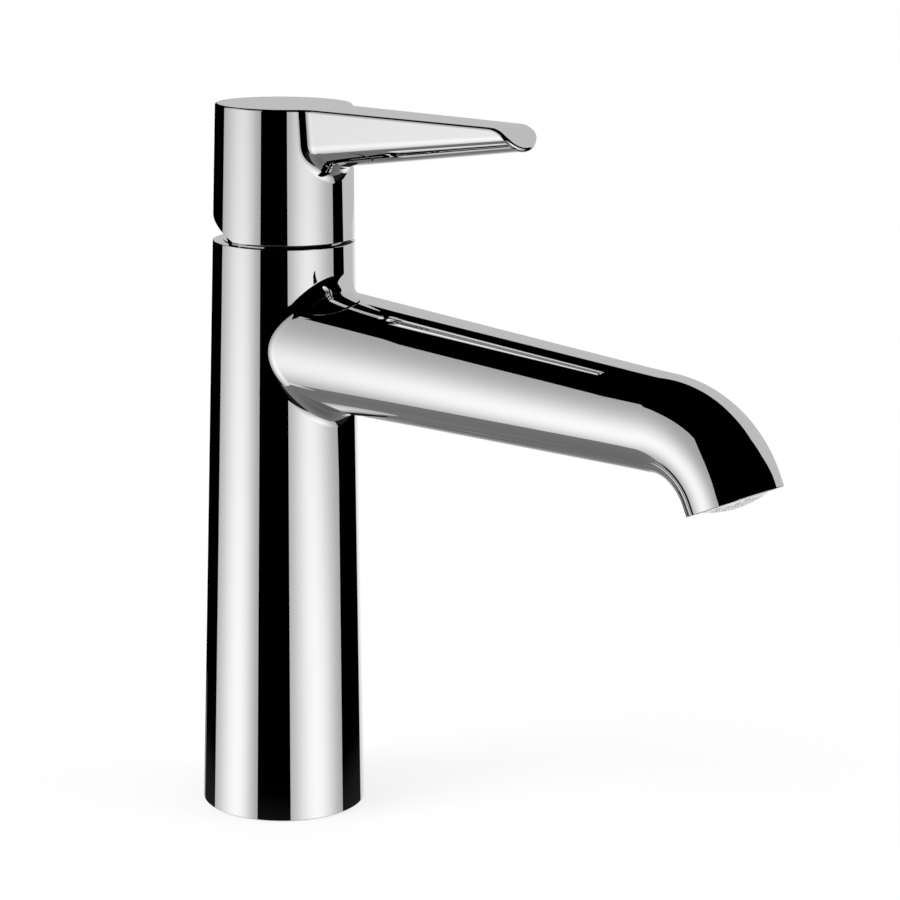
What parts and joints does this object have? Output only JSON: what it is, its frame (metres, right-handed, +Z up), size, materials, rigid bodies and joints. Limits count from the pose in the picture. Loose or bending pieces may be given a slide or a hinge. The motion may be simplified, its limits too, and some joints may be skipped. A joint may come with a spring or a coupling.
{
  "type": "basin mixer faucet",
  "caption": "Single-lever basin mixer: tapered round column with a cast sloping spout, flat lever that lifts and turns, ceramic-disc cartridge and concealed aerator.",
  "frame": {"origin": "centre of the column's base on the deck", "axes": "+Z up, -Y forward along the spout and the lever at rest, +X to the right of a person facing the faucet's front"},
  "size_m": [0.048, 0.1943, 0.2071],
  "materials": {
    "polished_chrome": "mirror-polished chrome plate on cast brass",
    "lever_chrome": "mirror-polished chrome plate on a die casting",
    "dome_chrome": "chrome-plated moulding",
    "sleeve_chrome": "bright chrome plate on turned brass",
    "plug_plastic": "smooth grey moulding",
    "grid_plastic": "grey moulded honeycomb",
    "white_plastic": "white engineering plastic",
    "grey_plastic": "grey engineering plastic",
    "limiter_plastic": "red moulded plastic",
    "seal_rubber": "black moulded rubber",
    "gasket_rubber": "black moulded rubber",
    "insert_brass": "turned brass",
    "nut_brass": "turned brass",
    "disc_ceramic": "lapped alumina",
    "stem_steel": "drawn stainless steel",
    "pin_steel": "ground stainless steel",
    "screw_steel": "stainless steel",
    "screen_steel": "perforated stainless steel"
  },
  "bodies": {
    "fixed": {"body_casting": "polished_chrome", "dome_ring": "dome_chrome", "aerator_sleeve": "sleeve_chrome", "aerator_grid": "grid_plastic", "aerator_diffuser": "white_plastic", "aerator_screen": "screen_steel", "aerator_washer": "seal_rubber", "base_gasket": "gasket_rubber", "insert_o_ring": "seal_rubber", "cartridge_o_ring": "seal_rubber", "port_seals": "seal_rubber", "disc_seals": "seal_rubber", "waterway_insert": "insert_brass", "clamp_nut": "nut_brass", "cartridge_base": "white_plastic", "cartridge_housing": "white_plastic", "fixed_disc": "disc_ceramic"},
    "turning": {"turning_sleeve": "grey_plastic", "pivot_pin": "pin_steel", "limiter_ring": "limiter_plastic"},
    "lever": {"lever_handle": "lever_chrome", "cartridge_stem": "stem_steel", "stem_adapter": "grey_plastic", "grub_screw": "screw_steel", "screw_plug": "plug_plastic"},
    "carrier": {"disc_driver": "grey_plastic", "moving_disc": "disc_ceramic"}
  },
  "joints": [
    {"name": "temperature_turn", "type": "hinge", "parent": "fixed", "child": "turning", "pos_m": [0, 0, 0.163], "axis": [0, 0, 1], "range_deg": [-45, 45]},
    {"name": "flow_lift", "type": "hinge", "parent": "turning", "child": "lever", "pos_m": [0, 0, 0.163], "axis": [-1, 0, 0], "range_deg": [0, 25]},
    {"name": "disc_slide", "type": "slide", "parent": "turning", "child": "carrier", "axis": [0, -1, 0], "range_m": [0, 0.0041]}
  ],
  "couplings": [
    {"joint": "disc_slide", "follows": "flow_lift", "m_per_rad": 0.0092}
  ]
}
